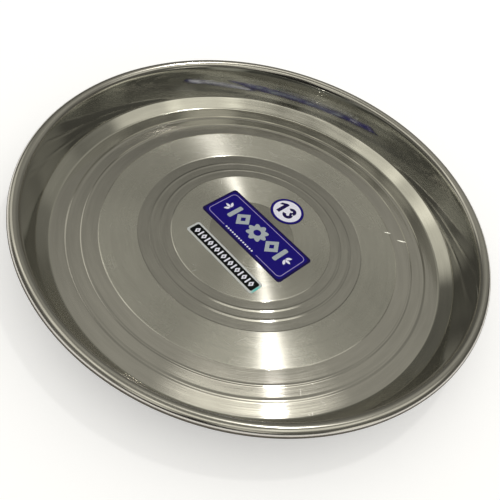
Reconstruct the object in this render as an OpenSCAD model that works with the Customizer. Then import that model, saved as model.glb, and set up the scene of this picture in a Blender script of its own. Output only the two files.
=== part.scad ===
/* [Overall] */
// Outside diameter over the rolled rim
plate_diameter = 330; // [260:1:400]
// Height over the rolled rim
plate_height = 35.5; // [28:0.1:50]
// Thickness of the steel sheet
sheet_thickness = 0.8; // [0.5:0.1:1.2]

/* [Wall and rim] */
// How far the wall leans out, from the bevel's top to the rim's roll
wall_lean = 6.4; // [5:0.1:9]
// Height of the bevel between the floor and the wall
bevel_height = 6.7; // [4:0.1:9]
// Width of the bevel
bevel_width = 8; // [6:0.1:11]
// Inside radius of the bends at the bevel's foot and top
bend_radius = 2.4; // [1:0.1:4]
// Outside diameter of the rolled rim
rim_roll_diameter = 8.4; // [5:0.2:10]
// How far the sheet goes round the roll, in degrees
rim_roll_sweep = 306; // [220:1:315]

/* [Floor bands] */
// Outside radius of the satin disc in the middle, which carries the labels
inner_disc_radius = 58.7; // [48:0.1:68]
// Start of the satin band, as a share of the way from that disc to the corner
satin_start_share = 0.294; // [0.27:0.002:0.35]
// End of the satin band, as a share of the same way
satin_end_share = 0.602; // [0.55:0.002:0.66]
// Height by which the satin areas stand above the polished ones
band_step = 0.3; // [0.1:0.05:0.8]
// Width of the sloping edge of each satin area
band_edge_width = 0.9; // [0.4:0.1:2]

/* [Floor beads] */
// Crest of the first bead, as a share of the way from the disc to the corner
first_bead_share = 0.094; // [0.07:0.001:0.12]
// Crest of the second bead, as a share of the same way
second_bead_share = 0.183; // [0.16:0.001:0.22]
// Crest of the third bead, as a share of the same way
third_bead_share = 0.741; // [0.71:0.001:0.78]
// Crest of the fourth bead, as a share of the same way
fourth_bead_share = 0.858; // [0.84:0.001:0.89]
// Height of the beads
bead_height = 0.45; // [0.2:0.05:0.8]
// Width of the first, second and third beads
bead_width = 2.4; // [1.4:0.1:4]
// Width of the fourth, broader bead
broad_bead_width = 3.4; // [2:0.1:5]

/* [Labels] */
// Thickness of the labels
label_thickness = 0.25; // [0.1:0.05:0.5]
// Turn of the three labels, in degrees
label_turn = -35.4; // [-180:0.1:180]
// Length of the rectangular label
main_label_length = 84; // [60:0.5:100]
// Width of the rectangular label
main_label_width = 34.6; // [20:0.5:45]
// Corner radius of the rectangular label
main_label_corner = 2.6; // [1:0.1:6]
// Centre of the rectangular label, to the right of the plate's centre
main_label_right = 2.7; // [-20:0.1:20]
// Centre of the rectangular label, behind the plate's centre
main_label_back = 1; // [-20:0.1:20]
// Diameter of the round label
size_label_diameter = 26.2; // [18:0.1:32]
// Centre of the round label, to the right of the plate's centre
size_label_right = 21.3; // [0:0.1:40]
// Centre of the round label, behind the plate's centre
size_label_back = 32.1; // [0:0.1:40]
// Length of the strip label
strip_label_length = 69.5; // [50:0.5:80]
// Width of the strip label
strip_label_width = 12.2; // [8:0.1:16]
// Corner radius of the strip label
strip_label_corner = 2; // [0.5:0.1:4]
// Centre of the strip label, to the left of the plate's centre
strip_label_left = 14.8; // [0:0.1:30]
// Centre of the strip label, in front of the plate's centre
strip_label_front = 28.1; // [10:0.1:40]

/* [Hidden] */
$fn = 120;
steel = [0.62, 0.6, 0.57];
label_blue = [0.1, 0.05, 0.42];
label_white = [0.86, 0.86, 0.9];
label_black = [0.05, 0.05, 0.06];
full_turn = 360;
// The rim's roll starts square to the long side of a 7-24-25 triangle, about 74 degrees
roll_run_share = 0.28;
roll_rise_share = 0.96;
// Centre of the rim's roll, and where the roll starts and ends
roll_radius = rim_roll_diameter / 2;
roll_r = plate_diameter / 2 - roll_radius;
roll_z = plate_height - roll_radius;
roll_start = atan2(roll_run_share, -roll_rise_share);
roll_end = roll_start - rim_roll_sweep;
// Upper end of the wall, inside and outside
wall_top = [roll_r - roll_radius * roll_rise_share, roll_z + roll_radius * roll_run_share];
wall_top_outside = wall_top + sheet_thickness * [roll_rise_share, -roll_run_share];
// Where the inner faces of bevel and wall, and of floor and bevel, would meet without bends
bevel_top = [wall_top[0] - wall_lean, sheet_thickness + bevel_height];
bevel_foot = [bevel_top[0] - bevel_width, sheet_thickness];
bevel_angle = atan2(bevel_height, bevel_width);
wall_angle = atan2(wall_top[1] - bevel_top[1], wall_lean);
// Centres of the two bends
foot_bend = [bevel_foot[0] - bend_radius * tan(bevel_angle / 2), sheet_thickness + bend_radius];
top_bend_reach = bend_radius * tan((wall_angle - bevel_angle) / 2);
top_bend = bevel_top
    - top_bend_reach * [cos(bevel_angle), sin(bevel_angle)]
    + bend_radius * [-sin(bevel_angle), cos(bevel_angle)];
bend_steps = 6;
// Radii of the satin band and of the beads' crests
ring_reach = bevel_foot[0] - inner_disc_radius;
satin_band_inner_radius = inner_disc_radius + ring_reach * satin_start_share;
satin_band_outer_radius = inner_disc_radius + ring_reach * satin_end_share;
first_bead_radius = inner_disc_radius + ring_reach * first_bead_share;
second_bead_radius = inner_disc_radius + ring_reach * second_bead_share;
third_bead_radius = inner_disc_radius + ring_reach * third_bead_share;
fourth_bead_radius = inner_disc_radius + ring_reach * fourth_bead_share;
// Top of the satin areas, where the labels lie
label_seat_z = sheet_thickness + band_step;

// Points of a bend, from one slope to another
function bend_points(centre, radius, from_slope, to_slope) = [
    for (step = [0:bend_steps])
        let (slope = from_slope + (to_slope - from_slope) * step / bend_steps)
        centre + radius * [sin(slope), -cos(slope)]
];

// Sheet from the middle of the floor to the top of the wall, as a section
module sheet_section() {
    disc_foot = inner_disc_radius + band_edge_width;
    band_inner_foot = satin_band_inner_radius - band_edge_width;
    band_outer_foot = satin_band_outer_radius + band_edge_width;
    outside_radius = bend_radius + sheet_thickness;
    polygon(concat(
        [
            [0, band_step],
            [inner_disc_radius, band_step],
            [disc_foot, 0],
            [band_inner_foot, 0],
            [satin_band_inner_radius, band_step],
            [satin_band_outer_radius, band_step],
            [band_outer_foot, 0]
        ],
        bend_points(foot_bend, outside_radius, 0, bevel_angle),
        bend_points(top_bend, outside_radius, bevel_angle, wall_angle),
        [wall_top_outside, wall_top],
        bend_points(top_bend, bend_radius, wall_angle, bevel_angle),
        bend_points(foot_bend, bend_radius, bevel_angle, 0),
        [
            [band_outer_foot, sheet_thickness],
            [satin_band_outer_radius, label_seat_z],
            [satin_band_inner_radius, label_seat_z],
            [band_inner_foot, sheet_thickness],
            [disc_foot, sheet_thickness],
            [inner_disc_radius, label_seat_z],
            [0, label_seat_z]
        ]
    ));
}

// Middle of the sheet where the wall runs on into the roll, so that both are one
module roll_root() {
    across = sheet_thickness / 4 * [roll_rise_share, -roll_run_share];
    along = sheet_thickness / 2 * [roll_run_share, roll_rise_share];
    polygon([
        wall_top + across - along,
        wall_top + 3 * across - along,
        wall_top + 3 * across + along,
        wall_top + across + along
    ]);
}

// Open roll of sheet along the rim, as a section
module roll_section() {
    reach = 2 * roll_radius;
    gap_middle = (roll_start + roll_end + full_turn) / 2;
    translate([roll_r, roll_z])
        difference() {
            circle(r = roll_radius);
            circle(r = roll_radius - sheet_thickness);
            polygon([
                [0, 0],
                [-reach * roll_rise_share, reach * roll_run_share],
                [reach * cos(gap_middle), reach * sin(gap_middle)],
                [reach * cos(roll_end), reach * sin(roll_end)]
            ]);
        }
}

// One raised bead on top of the floor, as a section
module bead_top(crest_radius, width) {
    curve = (width * width / 4 + bead_height * bead_height) / (2 * bead_height);
    intersection() {
        translate([crest_radius, sheet_thickness + bead_height - curve])
            circle(r = curve);
        translate([crest_radius - width, sheet_thickness / 2])
            square([2 * width, sheet_thickness + bead_height]);
    }
}

// Hollow under one bead, as a section
module bead_hollow(crest_radius, width) {
    curve = (width * width / 4 + bead_height * bead_height) / (2 * bead_height);
    translate([crest_radius, bead_height - curve])
        circle(r = curve);
}

// Sheet with its beads, and the roll along the rim, as a section
module plate_section() {
    difference() {
        union() {
            sheet_section();
            bead_top(first_bead_radius, bead_width);
            bead_top(second_bead_radius, bead_width);
            bead_top(third_bead_radius, bead_width);
            bead_top(fourth_bead_radius, broad_bead_width);
        }
        bead_hollow(first_bead_radius, bead_width);
        bead_hollow(second_bead_radius, bead_width);
        bead_hollow(third_bead_radius, bead_width);
        bead_hollow(fourth_bead_radius, broad_bead_width);
    }
    roll_root();
    roll_section();
}

// Pressed sheet: banded floor, bevel, wall and rolled rim in one piece
module plate() {
    color(steel)
        rotate_extrude()
            plate_section();
}

// Flat label with rounded corners, centred on its own origin
module rounded_label(length, width, corner) {
    inner_length = length - 2 * corner;
    inner_width = width - 2 * corner;
    linear_extrude(height = label_thickness)
        union() {
            square([inner_length, width], center = true);
            square([length, inner_width], center = true);
            for (side_x = [-1, 1])
                for (side_y = [-1, 1])
                    translate([side_x * inner_length / 2, side_y * inner_width / 2])
                        circle(r = corner);
        }
}

// Large rectangular label on the middle of the floor
module main_label() {
    color(label_blue)
        translate([main_label_right, main_label_back, label_seat_z])
            rotate([0, 0, label_turn])
                rounded_label(main_label_length, main_label_width, main_label_corner);
}

// Round label with the size number
module size_label() {
    color(label_white)
        translate([size_label_right, size_label_back, label_seat_z])
            cylinder(r = size_label_diameter / 2, h = label_thickness);
}

// Narrow strip label in front of the large one
module strip_label() {
    color(label_black)
        translate([-strip_label_left, -strip_label_front, label_seat_z])
            rotate([0, 0, label_turn])
                rounded_label(strip_label_length, strip_label_width, strip_label_corner);
}

plate();
main_label();
size_label();
strip_label();
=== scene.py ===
"""Looks of a stainless-steel thali plate with pressed floor bands, a rolled rim and three stick-on labels.

All lengths are in metres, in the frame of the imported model: +Z up, +X to the right, +Y away from the viewer.
"""
import logging
import math
from dataclasses import dataclass
from enum import Enum

import bmesh
import bpy
from mathutils import Matrix, Vector


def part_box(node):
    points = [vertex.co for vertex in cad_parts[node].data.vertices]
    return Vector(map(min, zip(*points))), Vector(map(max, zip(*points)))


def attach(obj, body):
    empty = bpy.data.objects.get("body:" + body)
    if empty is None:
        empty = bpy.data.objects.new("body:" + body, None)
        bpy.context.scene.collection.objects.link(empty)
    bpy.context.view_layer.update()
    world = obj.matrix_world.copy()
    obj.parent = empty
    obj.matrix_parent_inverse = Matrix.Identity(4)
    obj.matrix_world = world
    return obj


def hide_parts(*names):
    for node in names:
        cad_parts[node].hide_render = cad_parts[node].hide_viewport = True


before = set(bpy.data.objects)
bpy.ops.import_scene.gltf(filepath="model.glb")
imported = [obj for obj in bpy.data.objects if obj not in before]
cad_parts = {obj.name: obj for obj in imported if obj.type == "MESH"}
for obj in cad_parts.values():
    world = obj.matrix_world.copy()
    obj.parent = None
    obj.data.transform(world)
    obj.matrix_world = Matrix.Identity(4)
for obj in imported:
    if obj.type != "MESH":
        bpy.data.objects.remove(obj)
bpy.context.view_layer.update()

BODY = "root"
MM = 0.001
UP = (0.0, 0.0, 1.0)
log = logging.getLogger("thali_plate")

Point = tuple[float, float]
Colour = tuple[float, float, float]
Direction = tuple[float, float, float]


class Zone(Enum):
    """Finish zones of the pressed sheet, in the order of its material slots."""

    CENTRE = 0
    SATIN = 1
    POLISHED = 2
    OUTER = 3
    BEVEL = 4
    WALL = 5
    RIM = 6
    UNDERSIDE = 7


class Ink(Enum):
    """Print colours of the labels."""

    NAVY = "navy"
    DARK_NAVY = "dark_navy"
    LILAC = "lilac"
    SILVER = "silver"
    WHITE = "white"
    BLACK = "black"
    FOIL = "foil"


# Shader helpers

# Colour sockets of a Mix node, by number
MIX_FIRST, MIX_SECOND, MIX_RESULT = 6, 7, 2
# Values between which most of a noise lies
NOISE_LOW, NOISE_HIGH = 0.3, 0.7
# Values of their noises at which smudges and scratches start and are full
SMUDGE_START, SMUDGE_FULL = 0.4, 0.75
SCRATCH_START, SCRATCH_FULL = 0.735, 0.79
# Direction in radians of each set of scratches, and stretch of its noise along and across them
SCRATCH_SETS = ((0.5, (55.0, 2600.0, 55.0)), (1.35, (70.0, 3000.0, 70.0)), (2.4, (45.0, 2300.0, 45.0)))
SCRATCH_PATCHES = 21.0
# Share of the fine mottling in the height of printed film
FINE_HEIGHT = 0.08


def opaque(colour: Colour) -> tuple[float, float, float, float]:
    """A colour with full alpha."""
    return (*colour, 1.0)


def tones(colour: Colour, share: float) -> tuple[Colour, Colour]:
    """A darker and a lighter tone of a colour, a share away from it."""
    return tuple(part * (1 - share) for part in colour), tuple(min(1.0, part * (1 + share)) for part in colour)


class Graph:
    """Small writer for one node tree."""

    def __init__(self, tree: bpy.types.NodeTree) -> None:
        """Clear a tree and start on it."""
        self.tree = tree
        tree.nodes.clear()

    def add(self, kind: str, inputs: dict | None = None, **settings: object) -> bpy.types.Node:
        """Add a node.

        Args:
            kind: Blender's name of the node type.
            inputs: Values or output sockets for the node's inputs, by name or number.
            **settings: Properties of the node.

        Returns:
            The new node.
        """
        node = self.tree.nodes.new(kind)
        for name, value in settings.items():
            setattr(node, name, value)
        for key, value in (inputs or {}).items():
            if isinstance(value, bpy.types.NodeSocket):
                self.tree.links.new(value, node.inputs[key])
            else:
                node.inputs[key].default_value = value
        return node

    def math(self, operation: str, *values: object) -> bpy.types.NodeSocket:
        """Add a Math node and return its output."""
        return self.add("ShaderNodeMath", dict(enumerate(values)), operation=operation).outputs[0]

    def vector(self, operation: str, *values: object, out: str = "Vector") -> bpy.types.NodeSocket:
        """Add a Vector Math node and return one of its outputs."""
        return self.add("ShaderNodeVectorMath", dict(enumerate(values)), operation=operation).outputs[out]

    def scaled(self, vector: object, factor: object) -> bpy.types.NodeSocket:
        """Scale a vector by a factor."""
        return self.add("ShaderNodeVectorMath", {0: vector, "Scale": factor}, operation="SCALE").outputs[0]

    def turned(self, vector: object, angle: object) -> bpy.types.NodeSocket:
        """Turn a vector about Z by an angle in radians."""
        inputs = {"Vector": vector, "Angle": angle}
        return self.add("ShaderNodeVectorRotate", inputs, rotation_type="Z_AXIS").outputs[0]

    def parts(self, vector: object) -> bpy.types.bpy_prop_collection:
        """Split a vector into its X, Y and Z."""
        return self.add("ShaderNodeSeparateXYZ", {0: vector}).outputs

    def place(self) -> bpy.types.NodeSocket:
        """The shaded point in the piece's own coordinates."""
        return self.add("ShaderNodeTexCoord").outputs["Object"]

    def noise(self, place: object, scale: object, detail: float, roughness: float = 0.5,
              distortion: float = 0.0) -> bpy.types.NodeSocket:
        """Add a Noise node and return its value."""
        inputs = {"Vector": place, "Scale": scale, "Detail": detail, "Roughness": roughness, "Distortion": distortion}
        return self.add("ShaderNodeTexNoise", inputs).outputs["Fac"]

    def spread(self, value: object, low: object, high: object, to_low: object = 0.0,
               to_high: object = 1.0) -> bpy.types.NodeSocket:
        """Map a value smoothly from one range to another."""
        inputs = {"Value": value, "From Min": low, "From Max": high, "To Min": to_low, "To Max": to_high}
        return self.add("ShaderNodeMapRange", inputs, interpolation_type="SMOOTHSTEP").outputs["Result"]

    def blend(self, share: object, first: object, second: object) -> bpy.types.NodeSocket:
        """Mix two colours, each a tuple or a socket.

        Args:
            share: How much of the second colour shows.
            first: The colour at a share of 0.
            second: The colour at a share of 1.

        Returns:
            The mixed colour.
        """
        ends = [opaque(end) if isinstance(end, tuple) else end for end in (first, second)]
        inputs = {"Factor": share, MIX_FIRST: ends[0], MIX_SECOND: ends[1]}
        return self.add("ShaderNodeMix", inputs, data_type="RGBA").outputs[MIX_RESULT]

    def group(self, tree: bpy.types.NodeTree, inputs: dict | None = None) -> bpy.types.bpy_prop_collection:
        """Place a node group with its own values and return its outputs."""
        return self.add("ShaderNodeGroup", inputs, node_tree=tree).outputs

    def surface(self, shader: bpy.types.Node) -> None:
        """Make a shader the material's surface."""
        self.add("ShaderNodeOutputMaterial", {"Surface": shader.outputs[0]})

    def looked_at(self) -> bpy.types.NodeSocket:
        """Tell what is looked at from what gives light.

        Returns:
            1 for camera, glossy and transmission rays, and 0 for the rest.
        """
        path = self.add("ShaderNodeLightPath").outputs
        shown = self.math("MAXIMUM", path["Is Camera Ray"], path["Is Glossy Ray"])
        return self.math("MAXIMUM", shown, path["Is Transmission Ray"])


def new_material(name: str) -> tuple[bpy.types.Material, Graph]:
    """Make an empty material.

    Args:
        name: Name of the material.

    Returns:
        The material and the writer of its tree.
    """
    made = bpy.data.materials.new(name)
    made.use_nodes = True
    return made, Graph(made.node_tree)


def new_group(name: str, inputs: dict[str, float], outputs: tuple[str, ...], vectors_in: tuple[str, ...] = (),
              vectors_out: tuple[str, ...] = ()) -> Graph:
    """Make a shader node group.

    Args:
        name: Name of the group.
        inputs: Names and default values of the float inputs.
        outputs: Names of the float outputs.
        vectors_in: Names of vector inputs, placed first.
        vectors_out: Names of vector outputs, placed last.

    Returns:
        The writer of the new group's tree.
    """
    tree = bpy.data.node_groups.new(name, "ShaderNodeTree")
    for label in vectors_in:
        tree.interface.new_socket(label, in_out="INPUT", socket_type="NodeSocketVector")
    for label, value in inputs.items():
        socket = tree.interface.new_socket(label, in_out="INPUT", socket_type="NodeSocketFloat")
        socket.default_value = value
    for label in outputs:
        tree.interface.new_socket(label, in_out="OUTPUT", socket_type="NodeSocketFloat")
    for label in vectors_out:
        tree.interface.new_socket(label, in_out="OUTPUT", socket_type="NodeSocketVector")
    return Graph(tree)


def ring_grain_group() -> bpy.types.NodeTree:
    """Fine circular lines round the plate's axis, as left by turning and brushing.

    Returns:
        A group with Grain, the fine lines, and Drift, slow changes from ring to ring, both from 0 to 1, and Normal,
        which the lines tilt by up to Inward towards the axis and up to Outward away from it.
    """
    inputs = {"Lines": 20000.0, "Drift Lines": 260.0, "Breaks": 3.0, "Seed": 0.0, "Inward": 0.1, "Outward": 0.1}
    g = new_group("ring_grain", inputs, ("Grain", "Drift"), vectors_out=("Normal",))
    entry = g.add("NodeGroupInput").outputs
    flat = g.vector("MULTIPLY", g.place(), (1.0, 1.0, 0.0))
    radius = g.vector("LENGTH", flat, out="Value")
    outward = g.vector("NORMALIZE", flat)
    parts = g.parts(outward)
    across = g.math("MULTIPLY", parts["X"], entry["Breaks"])
    along = g.math("MULTIPLY", parts["Y"], entry["Breaks"])
    results = []
    for lines, detail in (("Lines", 3.0), ("Drift Lines", 2.0)):
        line = g.math("MULTIPLY_ADD", radius, entry[lines], entry["Seed"])
        spot = g.add("ShaderNodeCombineXYZ", {"X": line, "Y": across, "Z": along}).outputs[0]
        results.append(g.spread(g.noise(spot, 1.0, detail, roughness=0.6), NOISE_LOW, NOISE_HIGH))
    grain, drift = results
    facing = g.add("ShaderNodeNewGeometry").outputs["Normal"]
    meridian = g.vector("CROSS_PRODUCT", g.vector("CROSS_PRODUCT", UP, outward), facing)
    reach = g.math("ADD", entry["Inward"], entry["Outward"])
    tilt = g.math("SUBTRACT", g.math("MULTIPLY", grain, reach), entry["Inward"])
    normal = g.vector("NORMALIZE", g.vector("ADD", facing, g.scaled(meridian, tilt)))
    g.add("NodeGroupOutput", {"Grain": grain, "Drift": drift, "Normal": normal})
    return g.tree


def handling_marks_group() -> bpy.types.NodeTree:
    """Smudges and hairline scratches from stacking and wiping.

    Returns:
        A group with Smudge and Scratch, both masks from 0 to 1. With more Cover, more places have scratches.
    """
    g = new_group("handling_marks", {"Size": 28.0, "Cover": 0.5}, ("Smudge", "Scratch"))
    entry = g.add("NodeGroupInput").outputs
    place = g.place()
    cloud = g.noise(place, entry["Size"], 4.0, roughness=0.62, distortion=0.6)
    scratch: object = 0.0
    for turn, stretch in SCRATCH_SETS:
        drawn = g.vector("MULTIPLY", g.turned(place, turn), stretch)
        line = g.spread(g.noise(drawn, 1.0, 1.0), SCRATCH_START, SCRATCH_FULL)
        scratch = g.math("MAXIMUM", scratch, line)
    bare = g.math("SUBTRACT", 1.0, entry["Cover"])
    open_place = g.math("GREATER_THAN", g.noise(place, SCRATCH_PATCHES, 2.0), bare)
    g.add("NodeGroupOutput", {"Smudge": g.spread(cloud, SMUDGE_START, SMUDGE_FULL),
                              "Scratch": g.math("MULTIPLY", scratch, open_place)})
    return g.tree


def nick_group() -> bpy.types.NodeTree:
    """One short scratch with pointed ends, drawn at a place of the plate.

    Returns:
        A group with Nick, a mask from 0 to 1.
    """
    g = new_group("nick", {"Turn": 0.0, "Length": 6 * MM, "Width": 1.4 * MM}, ("Nick",), vectors_in=("Middle",))
    entry = g.add("NodeGroupInput").outputs
    away = g.vector("SUBTRACT", g.place(), entry["Middle"])
    parts = g.parts(g.turned(away, g.math("MULTIPLY", entry["Turn"], -1.0)))
    shares = [g.math("DIVIDE", g.math("ABSOLUTE", parts[axis]), g.math("MULTIPLY", entry[size], 0.5))
              for axis, size in (("X", "Length"), ("Y", "Width"))]
    reach = g.math("ADD", g.math("POWER", shares[0], 2.0), shares[1])
    g.add("NodeGroupOutput", {"Nick": g.spread(reach, 0.5, 1.0, 1.0, 0.0)})
    return g.tree


def print_grain_group() -> bpy.types.NodeTree:
    """Fine mottling and slight waves of printed film.

    Returns:
        A group with Mottle, from 0 to 1, and Height for a bump.
    """
    g = new_group("print_grain", {"Fine": 3200.0, "Wave": 140.0}, ("Mottle", "Height"))
    entry = g.add("NodeGroupInput").outputs
    place = g.place()
    fine = g.noise(place, entry["Fine"], 3.0)
    wave = g.noise(place, entry["Wave"], 2.0)
    g.add("NodeGroupOutput", {"Mottle": g.spread(fine, NOISE_LOW, NOISE_HIGH),
                              "Height": g.math("MULTIPLY_ADD", fine, FINE_HEIGHT, wave)})
    return g.tree


def soft_patch_group() -> bpy.types.NodeTree:
    """A soft round patch of light on the studio's dome.

    Returns:
        A group with Light, which is Strength where Heading lies close to Towards. Inner and Outer are the cosines of
        the angles at which the patch starts to fade and ends.
    """
    inputs = {"Inner": 0.99, "Outer": 0.9, "Strength": 1.0}
    g = new_group("soft_patch", inputs, ("Light",), vectors_in=("Heading", "Towards"))
    entry = g.add("NodeGroupInput").outputs
    near = g.vector("DOT_PRODUCT", entry["Heading"], entry["Towards"], out="Value")
    g.add("NodeGroupOutput", {"Light": g.spread(near, entry["Outer"], entry["Inner"], 0.0, entry["Strength"])})
    return g.tree


@dataclass(frozen=True)
class ShaderGroups:
    """The node groups that the materials share."""

    ring_grain: bpy.types.NodeTree
    handling_marks: bpy.types.NodeTree
    nick: bpy.types.NodeTree
    print_grain: bpy.types.NodeTree
    soft_patch: bpy.types.NodeTree


# Finishes

# Share of the slow changes in the steel's tone; the fine lines have the rest
DRIFT_TONE = 0.6
# How much the fine lines change the roughness, as a share of it
GRAIN_ROUGH = 0.25
SCRATCH_BUMP = 0.3
SCRATCH_DEPTH = 0.01 * MM
# Turn of the anisotropy, in whole turns, that makes highlights run across the lines
LINES_TURN = 0.25
# A nick's raised edge catches the light: its painted highlight colour, where it faces and how strongly
NICK_HIGHLIGHT_COLOUR = (1.0, 0.98, 0.94)
NICK_FACING = (0.0, -0.63, 0.78)
NICK_LIFT = 6.0
PRINT_BUMP = 0.5
PRINT_DEPTH = 0.03 * MM
PRINT_ROUGH = 0.08
# Distances from its middle at which the foil's coloured glint starts to fade and ends
GLINT_FULL, GLINT_END = 2 * MM, 7.5 * MM


@dataclass(frozen=True)
class Nick:
    """One short scratch with a painted highlight on it: its middle and length, and its direction in degrees."""

    middle: Point
    length: float
    turn: float


@dataclass(frozen=True)
class SteelFinish:
    """One finish of the sheet, from mirror polish to brushed satin; lean is how far lines tilt in and out."""

    name: str
    colour: Colour
    roughness: float
    anisotropy: float
    lean: Point
    grain_tone: float = 0.08
    smudge_rough: float = 0.05
    scratch_rough: float = 0.12
    scratch_cover: float = 0.45
    lines: float = 20000.0
    seed: float = 0.0
    nicks: tuple[Nick, ...] = ()

    def material(self, groups: ShaderGroups) -> bpy.types.Material:
        """Write the finish's material.

        Args:
            groups: The shared node groups.

        Returns:
            The material.
        """
        made, g = new_material(self.name)
        inward, outward = self.lean
        rings = g.group(groups.ring_grain, {"Lines": self.lines, "Seed": self.seed, "Inward": inward,
                                            "Outward": outward})
        marks = g.group(groups.handling_marks, {"Cover": self.scratch_cover})
        grain, scratch = rings["Grain"], marks["Scratch"]
        tone = g.math("MULTIPLY_ADD", rings["Drift"], DRIFT_TONE, g.math("MULTIPLY", grain, 1 - DRIFT_TONE))
        colour = g.blend(tone, *tones(self.colour, self.grain_tone))
        rough = g.math("MULTIPLY_ADD", g.math("SUBTRACT", grain, 0.5), GRAIN_ROUGH * self.roughness, self.roughness)
        rough = g.math("MULTIPLY_ADD", marks["Smudge"], self.smudge_rough, rough)
        rough = g.math("MULTIPLY_ADD", scratch, self.scratch_rough, rough)
        height = g.math("MULTIPLY", scratch, -1.0)
        normal = g.add("ShaderNodeBump", {"Strength": SCRATCH_BUMP, "Distance": SCRATCH_DEPTH, "Height": height,
                                          "Normal": rings["Normal"]}).outputs[0]
        for nick in self.nicks:
            cut = g.group(groups.nick, {"Middle": (*nick.middle, 0.0), "Turn": math.radians(nick.turn),
                                        "Length": nick.length})["Nick"]
            # Painted highlight: the nick's colour is blended towards near white; the tilt of its normal below is a
            # real bump
            colour = g.blend(cut, colour, NICK_HIGHLIGHT_COLOUR)
            burr = g.scaled(NICK_FACING, g.math("MULTIPLY", cut, NICK_LIFT))
            normal = g.vector("NORMALIZE", g.vector("ADD", normal, burr))
        tangent = g.add("ShaderNodeTangent", direction_type="RADIAL", axis="Z").outputs[0]
        g.surface(g.add("ShaderNodeBsdfPrincipled", {
            "Base Color": colour, "Metallic": 1.0, "Roughness": rough, "Anisotropic": self.anisotropy,
            "Anisotropic Rotation": LINES_TURN, "Normal": normal, "Tangent": tangent}))
        made.diffuse_color = opaque(self.colour)
        return made


@dataclass(frozen=True)
class PrintFinish:
    """One print colour on glossy film."""

    name: str
    colour: Colour
    roughness: float = 0.26
    metallic: float = 0.0
    gloss: float = 0.12
    tone: float = 0.12
    glint: Colour | None = None
    glint_from: Point = (0.0, 0.0)

    def material(self, groups: ShaderGroups) -> bpy.types.Material:
        """Write the print's material.

        Args:
            groups: The shared node groups.

        Returns:
            The material.
        """
        made, g = new_material(self.name)
        film = g.group(groups.print_grain)
        colour = g.blend(film["Mottle"], *tones(self.colour, self.tone))
        if self.glint is not None:
            away = g.vector("DISTANCE", g.place(), (*self.glint_from, 0.0), out="Value")
            colour = g.blend(g.spread(away, GLINT_FULL, GLINT_END, 1.0, 0.0), colour, self.glint)
        rough = g.math("MULTIPLY_ADD", film["Mottle"], PRINT_ROUGH, self.roughness)
        bump = g.add("ShaderNodeBump", {"Strength": PRINT_BUMP, "Distance": PRINT_DEPTH, "Height": film["Height"]})
        g.surface(g.add("ShaderNodeBsdfPrincipled", {
            "Base Color": colour, "Metallic": self.metallic, "Roughness": rough,
            "Specular IOR Level": self.gloss, "Normal": bump.outputs[0]}))
        made.diffuse_color = opaque(self.colour)
        return made


NICKS = (Nick((101 * MM, 40.5 * MM), 6 * MM, 11.0), Nick((112.5 * MM, 36 * MM), 9 * MM, 3.0))
STEEL_FINISHES = {
    Zone.CENTRE: SteelFinish("steel_centre", (0.54, 0.52, 0.47), 0.18, 1.0, (-0.01, 0.06), seed=11.0),
    Zone.SATIN: SteelFinish("steel_satin", (0.68, 0.66, 0.6), 0.23, 1.0, (0.12, 0.0), grain_tone=0.05,
                            lines=32000.0, seed=3.0, nicks=NICKS),
    Zone.POLISHED: SteelFinish("steel_polished", (0.53, 0.51, 0.47), 0.09, 0.9, (0.05, 0.05), seed=7.0),
    Zone.OUTER: SteelFinish("steel_outer_floor", (0.6, 0.575, 0.53), 0.07, 0.85, (0.035, 0.035), seed=5.0,
                            nicks=NICKS),
    Zone.BEVEL: SteelFinish("steel_bevel", (0.62, 0.6, 0.54), 0.1, 0.9, (0.04, 0.04), scratch_cover=0.32),
    Zone.WALL: SteelFinish("steel_wall", (0.54, 0.54, 0.51), 0.035, 0.3, (0.004, 0.004), grain_tone=0.03,
                           smudge_rough=0.01, scratch_rough=0.06, scratch_cover=0.32),
    Zone.RIM: SteelFinish("steel_rim", (0.6, 0.575, 0.53), 0.14, 0.2, (0.03, 0.03), grain_tone=0.05,
                          scratch_cover=0.32),
    Zone.UNDERSIDE: SteelFinish("steel_underside", (0.55, 0.53, 0.49), 0.2, 0.9, (0.1, 0.1), seed=17.0),
}


# Outlines in the plane of a label

CORNER_STEPS = 8
CIRCLE_STEPS = 96
DOT_STEPS = 16
TIP_STEPS = 12
TIP_ROUNDNESS = 0.7
LEAF_STEPS = 12
LEAF_FULLNESS = 0.9


def arc(centre: Point, radius: float, start: float, end: float, steps: int) -> list[Point]:
    """Points along an arc, both ends included.

    Args:
        centre: Centre of the arc.
        radius: Its radius.
        start: Start angle in degrees.
        end: End angle in degrees.
        steps: Number of chords.

    Returns:
        The points in order.
    """
    points = []
    for step in range(steps + 1):
        angle = math.radians(start + (end - start) * step / steps)
        points.append((centre[0] + radius * math.cos(angle), centre[1] + radius * math.sin(angle)))
    return points


def circle(radius: float, centre: Point = (0.0, 0.0), steps: int = CIRCLE_STEPS) -> list[Point]:
    """A closed circle."""
    return arc(centre, radius, 0, 360, steps)[:-1]


def rounded_rectangle(length: float, width: float, corner: float, centre: Point = (0.0, 0.0)) -> list[Point]:
    """A closed rectangle with round corners.

    Args:
        length: Its size along the label.
        width: Its size across the label.
        corner: Radius of its corners.
        centre: Its middle.

    Returns:
        The closed outline.
    """
    points: list[Point] = []
    for start, side_x, side_y in ((0, 1, 1), (90, -1, 1), (180, -1, -1), (270, 1, -1)):
        middle = (centre[0] + side_x * (length / 2 - corner), centre[1] + side_y * (width / 2 - corner))
        points += arc(middle, corner, start, start + 90, CORNER_STEPS)
    return points


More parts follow.
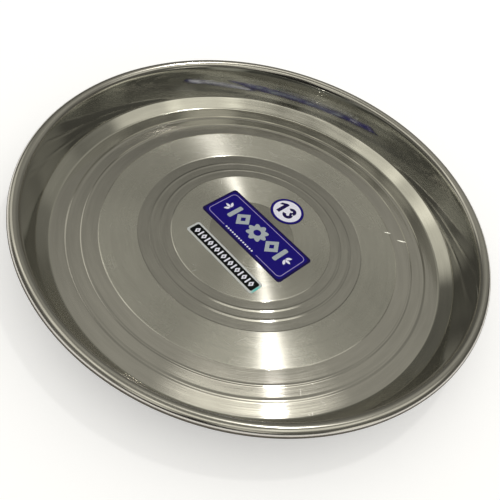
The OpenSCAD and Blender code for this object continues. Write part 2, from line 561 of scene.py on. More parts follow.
def stroke(path: list[Point], width: float, round_ends: bool = True) -> list[Point]:
    """The outline of a line of even width along a path.

    Args:
        path: The middle of the line.
        width: Its width.
        round_ends: Whether the ends are round or square.

    Returns:
        The closed outline.
    """
    left: list[Point] = []
    right: list[Point] = []
    for i, here in enumerate(path):
        before = Vector(path[max(i - 1, 0)])
        after = Vector(path[min(i + 1, len(path) - 1)])
        along = (after - before).normalized()
        side = Vector((-along.y, along.x)) * width / 2
        left.append(tuple(Vector(here) + side))
        right.append(tuple(Vector(here) - side))
    if not round_ends:
        return right + left[::-1]
    first, last = Vector(path[1]) - Vector(path[0]), Vector(path[-1]) - Vector(path[-2])
    head = math.degrees(math.atan2(last.y, last.x))
    tail = math.degrees(math.atan2(first.y, first.x))
    cap = arc(path[-1], width / 2, head - 90, head + 90, CORNER_STEPS)[1:-1]
    back = arc(path[0], width / 2, tail + 90, tail + 270, CORNER_STEPS)[1:-1]
    return right + cap + left[::-1] + back


def star(outer: float, inner: float, tips: int, centre: Point) -> list[Point]:
    """A rosette whose radius swings between two values.

    Args:
        outer: Radius at the tips.
        inner: Radius between the tips.
        tips: Number of tips.
        centre: Its middle.

    Returns:
        The closed outline.
    """
    points = []
    steps = tips * TIP_STEPS
    for step in range(steps):
        angle = 2 * math.pi * step / steps
        radius = inner + (outer - inner) * (0.5 + 0.5 * math.cos(tips * angle)) ** TIP_ROUNDNESS
        points.append((centre[0] + radius * math.cos(angle), centre[1] + radius * math.sin(angle)))
    return points


def lozenge(length: float, width: float, centre: Point) -> list[Point]:
    """A closed diamond."""
    x, y = centre
    return [(x + length / 2, y), (x, y + width / 2), (x - length / 2, y), (x, y - width / 2)]


def pierced_lozenge(size: Point, hole: Point, centre: Point) -> list[list[Point]]:
    """A diamond and the diamond hole in it."""
    return [lozenge(*size, centre), lozenge(*hole, centre)]


def leaf(length: float, width: float, centre: Point, turn: float) -> list[Point]:
    """A leaf with pointed ends.

    Args:
        length: Its length.
        width: Its greatest width.
        centre: Its middle.
        turn: Its direction in degrees.

    Returns:
        The closed outline.
    """
    points = []
    for side in (1, -1):
        for step in range(LEAF_STEPS):
            share = step / LEAF_STEPS if side > 0 else 1 - step / LEAF_STEPS
            across = side * width / 2 * math.sin(math.pi * share) ** LEAF_FULLNESS
            points.append(Vector(((share - 0.5) * length, across)))
    spin = Matrix.Rotation(math.radians(turn), 2)
    return [tuple(spin @ point + Vector(centre)) for point in points]


# Meshes

# Distance below which neighbouring points of a cut piece are one
WELD = 1e-7
EDGE_ROUNDING = 2


def new_object(name: str, data: bpy.types.ID) -> bpy.types.Object:
    """Put a mesh, curve, lamp or camera into the scene.

    Args:
        name: Name of the object.
        data: What it shows.

    Returns:
        The object.
    """
    made = bpy.data.objects.new(name, data)
    bpy.context.scene.collection.objects.link(made)
    return made


def finish_mesh(mesh: bmesh.types.BMesh, name: str) -> bpy.types.Object:
    """Turn a bmesh into an object of the scene.

    Args:
        mesh: The mesh, which is freed.
        name: Name of the object.

    Returns:
        The object.
    """
    bmesh.ops.recalc_face_normals(mesh, faces=mesh.faces)
    data = bpy.data.meshes.new(name)
    mesh.to_mesh(data)
    mesh.free()
    return new_object(name, data)


def cut_sheet(name: str, loops: list[list[Point]], low: float, high: float, place: Matrix,
              edge: float = 0.0) -> bpy.types.Object:
    """Cut a flat piece from loops; a loop inside another one is a hole.

    Args:
        name: Name of the piece.
        loops: Closed outlines in the piece's own plane.
        low: Height of its underside.
        high: Height of its top.
        place: Turn and place of the piece's plane in the frame.
        edge: Radius that rounds its edges.

    Returns:
        The piece.
    """
    curve = bpy.data.curves.new(name + "_outline", "CURVE")
    curve.dimensions = "2D"
    curve.fill_mode = "BOTH"
    curve.extrude = (high - low) / 2 - edge
    curve.bevel_depth = edge
    curve.bevel_resolution = EDGE_ROUNDING
    curve.offset = -edge
    for loop in loops:
        spline = curve.splines.new("POLY")
        spline.points.add(len(loop) - 1)
        for point, (x, y) in zip(spline.points, loop):
            point.co = (x, y, 0.0, 1.0)
        spline.use_cyclic_u = True
    holder = new_object(name + "_outline", curve)
    bpy.context.view_layer.update()
    data = bpy.data.meshes.new_from_object(holder.evaluated_get(bpy.context.evaluated_depsgraph_get()))
    bpy.data.objects.remove(holder)
    bpy.data.curves.remove(curve)
    data.name = name
    data.transform(place @ Matrix.Translation((0.0, 0.0, (low + high) / 2)))
    mesh = bmesh.new()
    mesh.from_mesh(data)
    bmesh.ops.remove_doubles(mesh, verts=mesh.verts, dist=WELD)
    bmesh.ops.dissolve_degenerate(mesh, edges=mesh.edges, dist=WELD)
    mesh.to_mesh(data)
    mesh.free()
    return new_object(name, data)


# Sub-assemblies

# Waves of the floor across the plate: along X, along Y and slantwise, each with its rate per metre and its start
FLOOR_WAVES = ((41, 0.7), (37, 1.9), (63, 2.2))
SLANT_WAVE = 0.6
# Waves of the wall round the plate: number of waves, start and share
WALL_WAVES = ((5, 0.4, 1.0), (9, 2.1, 0.6), (16, 1.1, 0.35))
# Least distance between two rings of the floor, and how far past a ring its finish is looked up
RING_GAP = 0.00008
RING_NUDGE = 0.00001
# Rings on each side of a band's edge
EDGE_MARGIN = 2


def clamp(value: float) -> float:
    """A value kept between 0 and 1."""
    return min(1.0, max(0.0, value))


def smooth(value: float) -> float:
    """A value kept between 0 and 1, with a soft start and end."""
    share = clamp(value)
    return share * share * (3 - 2 * share)


@dataclass
class SteelPlate:
    """The pressed sheet: banded floor, bevel, wall and rolled rim, turned from one profile.

    The numbers of chords and cuts come first for the top and then for the underside where there are two.
    """

    outer_radius: float
    height: float
    sheet: float = 0.8 * MM
    wall_lean: float = 6.4 * MM
    bevel_height: float = 6.7 * MM
    bevel_width: float = 8 * MM
    bend_radius: float = 2.4 * MM
    roll_radius: float = 4.2 * MM
    roll_sweep: float = 306.0
    roll_run_share: float = 0.28
    roll_rise_share: float = 0.96
    centre_radius: float = 31.5 * MM
    disc_radius: float = 58.7 * MM
    band_inner: float = 83.3 * MM
    band_outer: float = 109.1 * MM
    band_step: float = 0.3 * MM
    band_edge: float = 0.9 * MM
    bead_height: float = 0.2 * MM
    bead_reach: float = 0.62
    beads: tuple[Point, ...] = ((66.6 * MM, 2.4 * MM), (74.0 * MM, 2.4 * MM), (120.7 * MM, 2.4 * MM),
                                (130.5 * MM, 3.4 * MM))
    floor_wave: float = 0.05 * MM
    floor_fade: float = 0.02
    wall_wave: float = 0.1 * MM
    wall_fade: float = 0.015
    roll_wave_share: float = 0.2
    turns: int = 360
    floor_cuts: int = 44
    edge_cuts: int = 8
    bead_cuts: int = 14
    bead_rings: int = 10
    bevel_chords: int = 6
    wall_chords: int = 14
    bend_chords: tuple[int, int] = (10, 8)
    roll_chords: tuple[int, int] = (56, 40)

    @property
    def roll_at(self) -> Vector:
        """Centre of the rim's roll."""
        return Vector((self.outer_radius - self.roll_radius, self.height - self.roll_radius))

    @property
    def wall_top(self) -> Vector:
        """Upper end of the wall's inner face."""
        return self.roll_at + self.roll_radius * Vector((-self.roll_rise_share, self.roll_run_share))

    @property
    def bevel_top(self) -> Vector:
        """Where the inner faces of bevel and wall would meet without a bend."""
        return Vector((self.wall_top.x - self.wall_lean, self.sheet + self.bevel_height))

    @property
    def bevel_foot(self) -> Vector:
        """Where the inner faces of floor and bevel would meet without a bend."""
        return Vector((self.bevel_top.x - self.bevel_width, self.sheet))

    @property
    def bevel_slope(self) -> float:
        """Slope of the bevel, in radians."""
        return math.atan2(self.bevel_height, self.bevel_width)

    @property
    def floor_radius(self) -> float:
        """Radius at which the flat floor ends and the first bend starts."""
        return self.bevel_foot.x - self.bend_radius * math.tan(self.bevel_slope / 2)

    def side(self, offset: float, steps: int) -> list[tuple[float, float, Zone]]:
        """Bends, bevel and wall from the floor's edge up to the roll.

        Args:
            offset: How far outside the inner face the line runs.
            steps: Number of chords in each bend.

        Returns:
            Radius, height and zone of each point, floor's edge and wall's top left out.
        """
        low_slope = self.bevel_slope
        high_slope = math.atan2(self.wall_top.y - self.bevel_top.y, self.wall_lean)
        foot = Vector((self.floor_radius, self.sheet + self.bend_radius))
        up = Vector((math.cos(low_slope), math.sin(low_slope)))
        inward = Vector((-up.y, up.x))
        reach = self.bend_radius * math.tan((high_slope - low_slope) / 2)
        top = self.bevel_top - reach * up + self.bend_radius * inward
        radius = self.bend_radius + offset
        low, high = math.degrees(low_slope) - 90, math.degrees(high_slope) - 90
        bends = arc(tuple(foot), radius, -90, low, steps), arc(tuple(top), radius, low, high, steps)
        line = [(r, z, Zone.BEVEL) for r, z in bends[0][1:]]
        line += self.straight(Vector(bends[0][-1]), Vector(bends[1][0]), self.bevel_chords, Zone.BEVEL)
        line += [(r, z, Zone.BEVEL) for r, z in bends[1][:-1]]
        line.append((*bends[1][-1], Zone.WALL))
        wall_end = self.wall_top + offset * Vector((self.roll_rise_share, -self.roll_run_share))
        return line + self.straight(Vector(bends[1][-1]), wall_end, self.wall_chords, Zone.WALL)

    @staticmethod
    def straight(start: Vector, end: Vector, steps: int, zone: Zone) -> list[tuple[float, float, Zone]]:
        """Points between two ends, both left out."""
        return [(*start.lerp(end, step / steps), zone) for step in range(1, steps)]

    def floor_height(self, radius: float) -> float:
        """Height of the floor's underside, with its bands and beads.

        Args:
            radius: Distance from the axis.

        Returns:
            The height.
        """
        if radius > self.band_outer:
            past = radius - self.band_outer
        elif radius > self.band_inner - self.band_edge:
            past = self.band_inner - radius
        else:
            past = radius - self.disc_radius
        height = self.band_step * (1 - smooth(past / self.band_edge))
        for crest, width in self.beads:
            away = abs(radius - crest) / (width * self.bead_reach)
            if away < 1:
                height += self.bead_height * math.cos(away * math.pi / 2) ** 2
        return height

    def floor_radii(self) -> list[float]:
        """Choose where the floor is cut into rings.

        Returns:
            Radii from the axis outwards, close together where the floor is not flat.
        """
        end = self.floor_radius
        radii = [end * step / self.floor_cuts for step in range(self.floor_cuts + 1)]
        radii.append(self.centre_radius)
        for edge in (self.disc_radius, self.band_inner - self.band_edge, self.band_outer):
            radii += [edge + self.band_edge * step / self.edge_cuts
                      for step in range(-EDGE_MARGIN, self.edge_cuts + EDGE_MARGIN + 1)]
        for crest, width in self.beads:
            radii += [crest + width * step / self.bead_cuts for step in range(-self.bead_rings, self.bead_rings + 1)]
        kept: list[float] = []
        for radius in sorted(radii):
            if not kept or radius - kept[-1] > RING_GAP:
                kept.append(radius)
        kept[-1] = end
        return kept

    def floor_zone(self, radius: float) -> Zone:
        """Finish of the floor.

        Args:
            radius: Distance from the axis.

        Returns:
            The zone at that distance.
        """
        if radius < self.centre_radius:
            return Zone.CENTRE
        if radius < self.disc_radius + self.band_edge / 2:
            return Zone.SATIN
        if radius < self.band_inner - self.band_edge / 2:
            return Zone.POLISHED
        if radius < self.band_outer + self.band_edge / 2:
            return Zone.SATIN
        return Zone.OUTER

    def trace(self) -> list[tuple[float, float, Zone, float]]:
        """Trace the profile from the middle over the rim and back along the underside.

        Returns:
            For each point its radius, its height, the finish of the stretch that starts there and its share of the
            sheet's unevenness.
        """
        start = 180 - math.degrees(math.atan2(self.roll_run_share, self.roll_rise_share))
        end = start - self.roll_sweep
        roll_at, hollow, calm = tuple(self.roll_at), self.roll_radius - self.sheet, self.roll_wave_share
        radii = self.floor_radii()
        line = [(r, self.sheet + self.floor_height(r), self.floor_zone(r + RING_NUDGE), 1.0) for r in radii]
        line += [(r, z, zone, 1.0) for r, z, zone in self.side(0.0, self.bend_chords[0])]
        line += [(r, z, Zone.RIM, calm) for r, z in arc(roll_at, self.roll_radius, start, end, self.roll_chords[0])]
        line += [(r, z, Zone.UNDERSIDE, calm) for r, z in arc(roll_at, hollow, end, start, self.roll_chords[1])]
        line += [(r, z, Zone.UNDERSIDE, 1.0) for r, z, _ in reversed(self.side(self.sheet, self.bend_chords[1]))]
        line += [(r, self.floor_height(r), Zone.UNDERSIDE, 1.0) for r in reversed(radii)]
        return line

    def wave(self, radius: float, angle: float) -> Point:
        """Slight unevenness of the pressed sheet.

        Args:
            radius: Distance from the axis.
            angle: Angle round the axis, in radians.

        Returns:
            How far the sheet strays outward and upward.
        """
        x, y = radius * math.cos(angle), radius * math.sin(angle)
        (rate_x, start_x), (rate_y, start_y), (rate_slant, start_slant) = FLOOR_WAVES
        lift = math.sin(x * rate_x + start_x) * math.sin(y * rate_y + start_y)
        lift += SLANT_WAVE * math.sin((x - y) * rate_slant + start_slant)
        outward = sum(share * math.sin(count * angle + start) for count, start, share in WALL_WAVES)
        inside = clamp((self.floor_radius - radius) / self.floor_fade)
        outside = clamp((radius - self.floor_radius) / self.wall_fade)
        return -self.wall_wave * outside * (1 + outward / 2), self.floor_wave * inside * (1 + lift / 2)

    def ring(self, mesh: bmesh.types.BMesh, radius: float, z: float, share: float) -> list[bmesh.types.BMVert]:
        """Turn one point of the profile round the axis.

        Args:
            mesh: The mesh that gets the points.
            radius: The point's distance from the axis.
            z: Its height.
            share: Its share of the sheet's unevenness.

        Returns:
            The points of the ring, or one point on the axis.
        """
        if radius <= 0:
            lift = self.wave(0.0, 0.0)[1]
            return [mesh.verts.new((0.0, 0.0, z + share * lift))]
        ring = []
        for turn in range(self.turns):
            angle = 2 * math.pi * turn / self.turns
            out, lift = self.wave(radius, angle)
            r = radius + share * out
            ring.append(mesh.verts.new((r * math.cos(angle), r * math.sin(angle), z + share * lift)))
        return ring

    def build(self) -> bpy.types.Object:
        """Turn the profile into the sheet's mesh.

        Returns:
            The steel plate.
        """
        profile = self.trace()
        mesh = bmesh.new()
        rings = [self.ring(mesh, radius, z, share) for radius, z, _, share in profile]
        for (_, _, zone, _), low, high in zip(profile, rings, rings[1:]):
            for turn in range(self.turns):
                after = (turn + 1) % self.turns
                if len(low) == 1:
                    corners = (low[0], high[turn], high[after])
                elif len(high) == 1:
                    corners = (low[turn], high[0], low[after])
                else:
                    corners = (low[turn], high[turn], high[after], low[after])
                face = mesh.faces.new(corners)
                face.material_index = zone.value
                face.smooth = True
        return finish_mesh(mesh, "steel_plate")

    def dress(self, piece: bpy.types.Object, groups: ShaderGroups) -> None:
        """Give each zone its finish."""
        for zone in Zone:
            piece.data.materials.append(STEEL_FINISHES[zone].material(groups))


class Printer:
    """Keeps the print materials and lays printed shapes on a label."""

    INKS = {
        Ink.NAVY: PrintFinish("print_navy", (0.007, 0.002, 0.155)),
        Ink.DARK_NAVY: PrintFinish("print_dark_navy", (0.008, 0.003, 0.06)),
        Ink.LILAC: PrintFinish("print_lilac", (0.42, 0.36, 0.62)),
        Ink.SILVER: PrintFinish("print_silver", (0.36, 0.4, 0.42), roughness=0.4),
        Ink.WHITE: PrintFinish("print_white", (0.74, 0.74, 0.82)),
        Ink.BLACK: PrintFinish("print_black", (0.002, 0.003, 0.003)),
        Ink.FOIL: PrintFinish("print_foil", (0.62, 0.64, 0.63), 0.28, 0.35, glint=(0.0, 0.62, 0.55),
                              glint_from=(15.6 * MM, -50.2 * MM)),
    }

    def __init__(self, groups: ShaderGroups) -> None:
        """Make each ink's material."""
        self.materials = {ink: finish.material(groups) for ink, finish in self.INKS.items()}

    def lay(self, name: str, ink: Ink, loops: list[list[Point]], low: float, high: float, place: Matrix,
            slot: str, edge: float = 0.0) -> bpy.types.Object:
        """Cut one printed or film piece, give it its ink and let it ride on the plate.

        Args:
            name: Name of the piece.
            ink: Its colour.
            loops: Its outlines.
            low: Height of its underside.
            high: Height of its top.
            place: Turn and place of the label.
            slot: The record's material slot; not used.
            edge: Radius of its edges.

        Returns:
            The piece.
        """
        piece = cut_sheet(name, loops, low, high, place, edge)
        piece.data.materials.clear()
        piece.data.materials.append(self.materials[ink])
        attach(piece, BODY)
        log.info("%s: %d faces", name, len(piece.data.polygons))
        return piece


@dataclass
class Label:
    """What every label has: its node in the frame, its turn in degrees and the thickness of its print."""

    node: str
    slot: str
    printer: Printer
    turn: float = -35.4
    print_rise: float = 0.02 * MM
    film_edge: float = 0.06 * MM

    @property
    def low(self) -> float:
        """Height of the film's underside."""
        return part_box(self.node)[0][2]

    @property
    def top(self) -> float:
        """Height of the film's top."""
        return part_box(self.node)[1][2]

    @property
    def place(self) -> Matrix:
        """Find the label's plane.

        Returns:
            Its turn and place in the frame.
        """
        low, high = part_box(self.node)
        middle = Vector(((low[0] + high[0]) / 2, (low[1] + high[1]) / 2, 0.0))
        return Matrix.Translation(middle) @ Matrix.Rotation(math.radians(self.turn), 4, "Z")

    def film(self, ink: Ink, outline: list[Point]) -> None:
        """Cut the film and let it stand for its node."""
        piece = self.printer.lay(f"{self.node}_film", ink, [outline], self.low, self.top, self.place, self.slot,
                                 self.film_edge)
        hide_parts(self.node)

    def mark(self, name: str, ink: Ink, loops: list[list[Point]], layer: int = 1) -> None:
        """Print one piece; its layer is counted from the film."""
        low = self.top + (layer - 1) * self.print_rise
        self.printer.lay(f"{self.node}_{name}", ink, loops, low, low + self.print_rise, self.place, self.slot)


@dataclass
class MainLabel(Label):
    """The large blue label with its key line, silver ornament and small white marks."""

    length: float = 84 * MM
    width: float = 34.6 * MM
    corner: float = 2.6 * MM
    margin: float = 1.7 * MM
    key_inset: float = 3.4 * MM
    key_width: float = 0.42 * MM
    key_corner: float = 3.2 * MM
    gap_start: float = -20 * MM
    gap_end: float = 15 * MM
    row_rise: float = 1.4 * MM
    rosette_outer: float = 8.6 * MM
    rosette_inner: float = 6.2 * MM
    rosette_hole: float = 2.9 * MM
    rosette_tips: int = 8
    hole_steps: int = 72
    lozenge_at: float = 15.6 * MM
    lozenge_size: Point = (12.4 * MM, 15.5 * MM)
    lozenge_hole: Point = (4.4 * MM, 5.6 * MM)
    bar_at: float = 24.6 * MM
    bar_size: Point = (3.6 * MM, 14.5 * MM)
    bar_corner: float = 1.1 * MM
    sprig_at: float = 29.3 * MM
    sprig_reach: float = 3.1 * MM
    leaf_size: Point = (5.2 * MM, 2.2 * MM)
    leaf_turns: tuple[float, ...] = (-55, 0, 55)
    dot_radius: float = 0.75 * MM
    dot_pitch: float = 2.3 * MM
    dot_rise: float = 0.2 * MM
    dot_start: float = 2.6 * MM
    dot_spare: float = 4 * MM

    def build(self) -> None:
        """Cut the film and print its ornament."""
        self.film(Ink.DARK_NAVY, rounded_rectangle(self.length, self.width, self.corner))
        panel = rounded_rectangle(self.length - 2 * self.margin, self.width - 2 * self.margin, self.corner)
        self.mark("panel", Ink.NAVY, [panel])
        self.mark("key_line", Ink.LILAC, [stroke(self.key_line(), self.key_width)], 2)
        self.mark("ornament", Ink.SILVER, self.ornament(), 2)
        self.mark("sprig", Ink.WHITE, self.sprig(), 2)
        self.mark("beading", Ink.WHITE, self.beading(), 2)

    def key_line(self) -> list[Point]:
        """Lead the key line round the label.

        Returns:
            Its path, open along the lower side.
        """
        half_x = self.length / 2 - self.key_inset
        half_y = self.width / 2 - self.key_inset
        corner = self.key_corner
        path: list[Point] = [(self.gap_end, -half_y)]
        for start, side_x, side_y in ((270, 1, -1), (0, 1, 1), (90, -1, 1), (180, -1, -1)):
            middle = (side_x * (half_x - corner), side_y * (half_y - corner))
            path += arc(middle, corner, start, start + 90, CORNER_STEPS)
        path.append((self.gap_start, -half_y))
        return path

    def ornament(self) -> list[list[Point]]:
        """Draw the chunky silver shapes: a pierced rosette between lozenges and bars.

        Returns:
            Their outlines.
        """
        middle = (0.0, self.row_rise)
        loops = [star(self.rosette_outer, self.rosette_inner, self.rosette_tips, middle),
                 circle(self.rosette_hole, middle, self.hole_steps)]
        for side in (-1, 1):
            loops += pierced_lozenge(self.lozenge_size, self.lozenge_hole, (side * self.lozenge_at, self.row_rise))
            loops.append(rounded_rectangle(*self.bar_size, self.bar_corner, (side * self.bar_at, self.row_rise)))
        return loops

    def sprig(self) -> list[list[Point]]:
        """Draw a small sprig of leaves at each end of the row.

        Returns:
            The leaves' outlines.
        """
        loops = []
        for side in (-1, 1):
            foot = side * self.sprig_at
            for turn in self.leaf_turns:
                lean = turn if side > 0 else 180 - turn
                middle = (foot + self.sprig_reach * math.cos(math.radians(lean)),
                          self.row_rise + self.sprig_reach * math.sin(math.radians(lean)))
                loops.append(leaf(*self.leaf_size, middle, lean))
        return loops

    def beading(self) -> list[list[Point]]:
        """Draw a row of small dots in the key line's gap.

        Returns:
            The dots' outlines.
        """
        level = -(self.width / 2 - self.key_inset) + self.dot_rise
        first = self.gap_start + self.dot_start
        count = int((self.gap_end - self.gap_start - self.dot_spare) / self.dot_pitch)
        return [circle(self.dot_radius, (first + i * self.dot_pitch, level), DOT_STEPS) for i in range(count)]


@dataclass(frozen=True)
class Bowl:
    """One bowl of the figure three: its radius as a share of the figure's height, how much wider, and its sweep."""

    share: float
    wider: float
    start: float
    end: float
    steps: int

    def path(self, middle: Point, radius: float) -> list[Point]:
        """The middle of the bowl's stroke."""
        return arc(middle, radius * self.wider, self.start, self.end, self.steps)


@dataclass
class SizeLabel(Label):
    """The round label with the plate's size number; the flag's corners are in half strokes from the figure's top."""

    diameter: float = 26.2 * MM
    ring_inset: float = 0.35 * MM
    ring_width: float = 2.1 * MM
    digit_height: float = 12.2 * MM
    stroke_width: float = 3 * MM
    one_at: float = -4.7 * MM
    one_flag: tuple[Point, ...] = ((-0.3, 0.0), (-2.7, 1.9), (-2.7, 3.6), (-1.0, 2.4))
    three_at: float = 2.6 * MM
    three_stroke: float = 0.94
    upper_bowl: Bowl = Bowl(0.235, 1.06, 165, -65, 14)
    lower_bowl: Bowl = Bowl(0.265, 1.1, 62, -168, 16)

    def build(self) -> None:
        """Cut the film and print its ring, face and number."""
        radius = self.diameter / 2
        self.film(Ink.DARK_NAVY, circle(radius))
        self.mark("ring", Ink.NAVY, [circle(radius - self.ring_inset)])
        self.mark("face", Ink.WHITE, [circle(radius - self.ring_width)], 2)
        self.mark("one", Ink.DARK_NAVY, [self.one()], 3)
        self.mark("three", Ink.DARK_NAVY, [self.three()], 3)

    def one(self) -> list[Point]:
        """Draw the figure one.

        Returns:
            Its outline.
        """
        at, half, bar = self.one_at, self.digit_height / 2, self.stroke_width / 2
        flag = [(at + along * bar, half - down * bar) for along, down in self.one_flag]
        return [(at + bar, -half), (at + bar, half), *flag, (at - bar, -half)]

    def three(self) -> list[Point]:
        """Draw the figure three.

        Returns:
            Its outline.
        """
        room = self.digit_height - self.stroke_width
        upper, lower = room * self.upper_bowl.share, room * self.lower_bowl.share
        middle = lower - upper
        path = self.upper_bowl.path((self.three_at, middle + upper), upper)
        path += self.lower_bowl.path((self.three_at, middle - lower), lower)
        return stroke(path, self.stroke_width * self.three_stroke, round_ends=False)


@dataclass
class StripLabel(Label):
    """The narrow black label with its foil border and a row of small white marks."""

    length: float = 69.5 * MM
    width: float = 12.2 * MM
    corner: float = 2 * MM
    border: float = 1.6 * MM
    field_corner_share: float = 0.7
    mark_pitch: float = 3.6 * MM
    mark_spare: float = 3 * MM
    bar_size: Point = (1.25 * MM, 5.6 * MM)
    bar_corner: float = 0.3 * MM
    lozenge_size: Point = (3.7 * MM, 5.8 * MM)
    lozenge_hole: Point = (1.2 * MM, 1.9 * MM)

    def build(self) -> None:
        """Cut the film and print its field and marks."""
        self.film(Ink.FOIL, rounded_rectangle(self.length, self.width, self.corner))
        field_length, field_width = self.length - 2 * self.border, self.width - 2 * self.border
        field = rounded_rectangle(field_length, field_width, self.corner * self.field_corner_share)
        self.mark("field", Ink.BLACK, [field])
        self.mark("marks", Ink.WHITE, self.marks(field_length), 2)

    def marks(self, room: float) -> list[list[Point]]:
        """Draw upright bars and pierced lozenges in turn.

        Args:
            room: Length that the row may take.

        Returns:
            Their outlines.
        """
        count = int((room - self.mark_spare) / self.mark_pitch)
        first = -self.mark_pitch * (count - 1) / 2
        loops = []
        for i in range(count):
            middle = (first + i * self.mark_pitch, 0.0)
            if i % 2:
                loops.append(rounded_rectangle(*self.bar_size, self.bar_corner, middle))
            else:
                loops += pierced_lozenge(self.lozenge_size, self.lozenge_hole, middle)
        return loops


# Studio

WHITE_LIGHT = (1.0, 1.0, 1.0, 1.0)
DISC_SEGMENTS = 96
DOME_SEGMENTS, DOME_RINGS = 64, 32


def heading(azimuth: float, elevation: float) -> Direction:
    """Unit direction from two angles in degrees.

    Args:
        azimuth: Angle from +X towards +Y.
        elevation: Angle above the floor.

    Returns:
        The direction.
    """
    flat = math.cos(math.radians(elevation))
    turn = math.radians(azimuth)
    return flat * math.cos(turn), flat * math.sin(turn), math.sin(math.radians(elevation))


def show_in_reflections_only(piece: bpy.types.Object) -> None:
    """Hide a stage piece from all rays but glossy ones."""
    for setting in ("visible_camera", "visible_diffuse", "visible_transmission", "visible_shadow"):
        setattr(piece, setting, False)


@dataclass(frozen=True)
class Patch:
    """One soft patch of light or shade on the dome, with its angles in degrees."""

    azimuth: float
    elevation: float
    inner: float
    outer: float
    strength: float

    def inputs(self, outward: bpy.types.NodeSocket) -> dict:
        """Values of the patch's node group, for the direction of the shaded point of the dome."""
        return {"Heading": outward, "Towards": heading(self.azimuth, self.elevation),
                "Inner": math.cos(math.radians(self.inner)), "Outer": math.cos(math.radians(self.outer)),
                "Strength": self.strength}


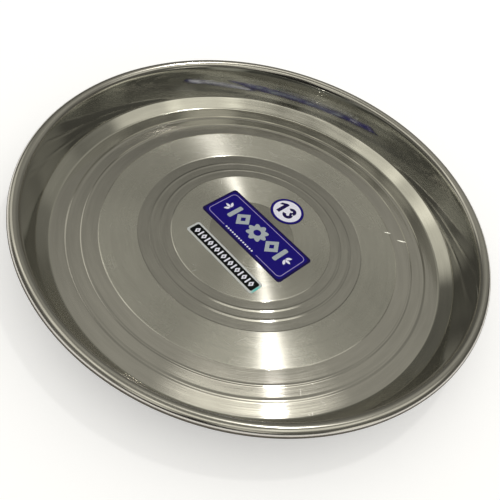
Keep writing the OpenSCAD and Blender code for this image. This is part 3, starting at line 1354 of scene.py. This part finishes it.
@dataclass
class Studio:
    """Floor, dark card, dome, lamp, world and camera.

    The dome is darkest low down, and gets lighter between two shares of its height.
    """

    floor_radius: float = 4.0
    floor_drop: float = 0.3 * MM
    floor_colour: Colour = (0.82, 0.82, 0.81)
    floor_glow: float = 0.3
    card_radius: float = 0.225
    card_drop: float = 0.1 * MM
    card_colour: Colour = (0.20, 0.19, 0.17)
    dome_radius: float = 2.6
    dome_foot: float = -0.01
    dome_colour: Colour = (0.975, 0.965, 0.85)
    dome_heights: Point = (0.4, 0.7)
    dome_levels: Point = (0.12, 0.25)
    world_colour: Colour = (1.0, 0.985, 0.95)
    world_level: float = 0.85
    lamp_angles: Point = (59, 69.6)
    lamp_distance: float = 1.6
    lamp_size: float = 0.08
    lamp_power: float = 2.1
    lamp_colour: Colour = (1.0, 0.99, 0.95)
    lens: float = 41.68
    sensor: float = 36.0
    shift: Point = (0.03, 0.04)
    tilt: float = 38.22
    swing: float = 16.25
    camera_at: Direction = (-4.54 * MM, -285.0 * MM, 316.2 * MM)
    clip_start: float = 0.01
    patches: tuple[Patch, ...] = (
        Patch(80, 73, 5, 10, 0.9),
        Patch(54, 69, 4, 10, 1.1),
        Patch(85, 60, 10, 30, 0.14),
        Patch(252, 28, 6, 13, 0.6),
        Patch(288, 28, 6, 13, 0.6),
        Patch(225, 6, 8, 20, 0.15),
        Patch(270, 5, 15, 32, -0.095),
        Patch(95, 42, 8, 20, -0.07),
        Patch(152, 37, 8, 20, 0.5),
        Patch(5, 50, 8, 15, 0.5),
        Patch(168, 52, 8, 15, 0.5),
        Patch(200, 54, 8, 14, 0.6),
        Patch(232, 54, 8, 14, 0.6),
        Patch(264, 54, 8, 14, 0.7),
        Patch(296, 55, 8, 14, 0.7),
        Patch(330, 57, 9, 16, 0.7),
        Patch(70, 15, 15, 35, 0.07),
        Patch(48, 26, 6, 14, 0.1),
        Patch(165, 3, 6, 16, 0.6),
        Patch(325, 3, 5, 12, 0.9),
    )

    def build(self, groups: ShaderGroups) -> None:
        """Set up everything round the object.

        Args:
            groups: The shared node groups.
        """
        bpy.context.scene.view_settings.view_transform = "Standard"
        self.world()
        self.floor()
        self.card()
        self.dome(groups)
        self.lamp()
        self.camera()

    def world(self) -> None:
        """Plain soft light, shown as white behind the object."""
        world = bpy.data.worlds.new("studio_world")
        bpy.context.scene.world = world
        world.use_nodes = True
        world.cycles.sampling_method = "NONE"
        g = Graph(world.node_tree)
        light = g.add("ShaderNodeBackground", {"Color": opaque(self.world_colour), "Strength": self.world_level})
        white = g.add("ShaderNodeBackground", {"Color": WHITE_LIGHT, "Strength": 1.0})
        mixed = g.add("ShaderNodeMixShader", {0: g.looked_at(), 1: light.outputs[0], 2: white.outputs[0]})
        g.add("ShaderNodeOutputWorld", {"Surface": mixed.outputs[0]})

    @staticmethod
    def disc(name: str, radius: float, drop: float) -> bpy.types.Object:
        """Lay a round flat piece just below the plate.

        Args:
            name: Its name.
            radius: Its radius.
            drop: How far it lies below the plate's underside.

        Returns:
            The piece.
        """
        mesh = bmesh.new()
        bmesh.ops.create_circle(mesh, cap_ends=True, segments=DISC_SEGMENTS, radius=radius)
        piece = finish_mesh(mesh, name)
        piece.location.z = -drop
        return piece

    def floor(self) -> None:
        """A pale floor that keeps the object's shadow and is white where it is lit."""
        floor = self.disc("studio_floor", self.floor_radius, self.floor_drop)
        made, g = new_material("pale_floor")
        made.cycles.emission_sampling = "NONE"
        pale = g.add("ShaderNodeBsdfDiffuse", {"Color": opaque(self.floor_colour)})
        strength = g.math("MULTIPLY", g.looked_at(), self.floor_glow)
        glow = g.add("ShaderNodeEmission", {"Color": WHITE_LIGHT, "Strength": strength})
        g.surface(g.add("ShaderNodeAddShader", {0: pale.outputs[0], 1: glow.outputs[0]}))
        floor.data.materials.append(made)

    def card(self) -> None:
        """A dark card under and round the object, seen only by reflections, which gives the steel its dark edges."""
        card = self.disc("studio_card", self.card_radius, self.card_drop)
        show_in_reflections_only(card)
        made, g = new_material("dark_card")
        g.surface(g.add("ShaderNodeBsdfDiffuse", {"Color": opaque(self.card_colour)}))
        card.data.materials.append(made)

    def dome(self, groups: ShaderGroups) -> None:
        """Put up a softly shaded dome that only reflections see.

        Args:
            groups: The shared node groups.
        """
        mesh = bmesh.new()
        bmesh.ops.create_uvsphere(mesh, u_segments=DOME_SEGMENTS, v_segments=DOME_RINGS, radius=self.dome_radius)
        bmesh.ops.delete(mesh, geom=[v for v in mesh.verts if v.co.z < self.dome_foot], context="VERTS")
        dome = finish_mesh(mesh, "studio_dome")
        show_in_reflections_only(dome)
        made, g = new_material("dome_light")
        made.cycles.emission_sampling = "NONE"
        outward = g.vector("NORMALIZE", g.place())
        level = g.spread(g.parts(outward)["Z"], *self.dome_heights, *self.dome_levels)
        for patch in self.patches:
            level = g.math("ADD", level, g.group(groups.soft_patch, patch.inputs(outward))["Light"])
        level = g.math("MAXIMUM", level, 0.0)
        g.surface(g.add("ShaderNodeEmission", {"Color": opaque(self.dome_colour), "Strength": level}))
        dome.data.materials.append(made)

    def lamp(self) -> None:
        """Hang a small lamp above the plate, facing it."""
        data = bpy.data.lights.new("key_lamp", "AREA")
        data.shape = "DISK"
        data.size = self.lamp_size
        data.energy = self.lamp_power
        data.color = self.lamp_colour
        lamp = new_object("key_lamp", data)
        away = Vector(heading(*self.lamp_angles)).normalized()
        lamp.location = away * self.lamp_distance
        lamp.rotation_euler = away.to_track_quat("Z", "Y").to_euler()

    def camera(self) -> None:
        """Put the camera at the photograph's viewing angle."""
        data = bpy.data.cameras.new("camera")
        data.lens = self.lens
        data.sensor_width = self.sensor
        data.shift_x, data.shift_y = self.shift
        data.clip_start = self.clip_start
        camera = new_object("camera", data)
        turn = Matrix.Rotation(math.radians(self.tilt), 4, "X") @ Matrix.Rotation(math.radians(self.swing), 4, "Z")
        camera.matrix_world = Matrix.Translation(self.camera_at) @ turn
        bpy.context.scene.camera = camera


def main() -> None:
    """Build the plate, its labels and the studio."""
    logging.basicConfig(level=logging.INFO, format="%(name)s: %(message)s")
    groups = ShaderGroups(ring_grain_group(), handling_marks_group(), nick_group(), print_grain_group(),
                          soft_patch_group())
    Studio().build(groups)

    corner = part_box("plate")[1]
    plate = SteelPlate(outer_radius=corner[0], height=corner[2])
    sheet = plate.build()
    plate.dress(sheet, groups)
    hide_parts("plate")
    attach(sheet, BODY)
    log.info("%s: %d faces", sheet.name, len(sheet.data.polygons))

    printer = Printer(groups)
    MainLabel("main_label", "label_blue", printer).build()
    SizeLabel("size_label", "label_white", printer).build()
    StripLabel("strip_label", "label_black", printer).build()


if __name__ == "__main__":
    main()
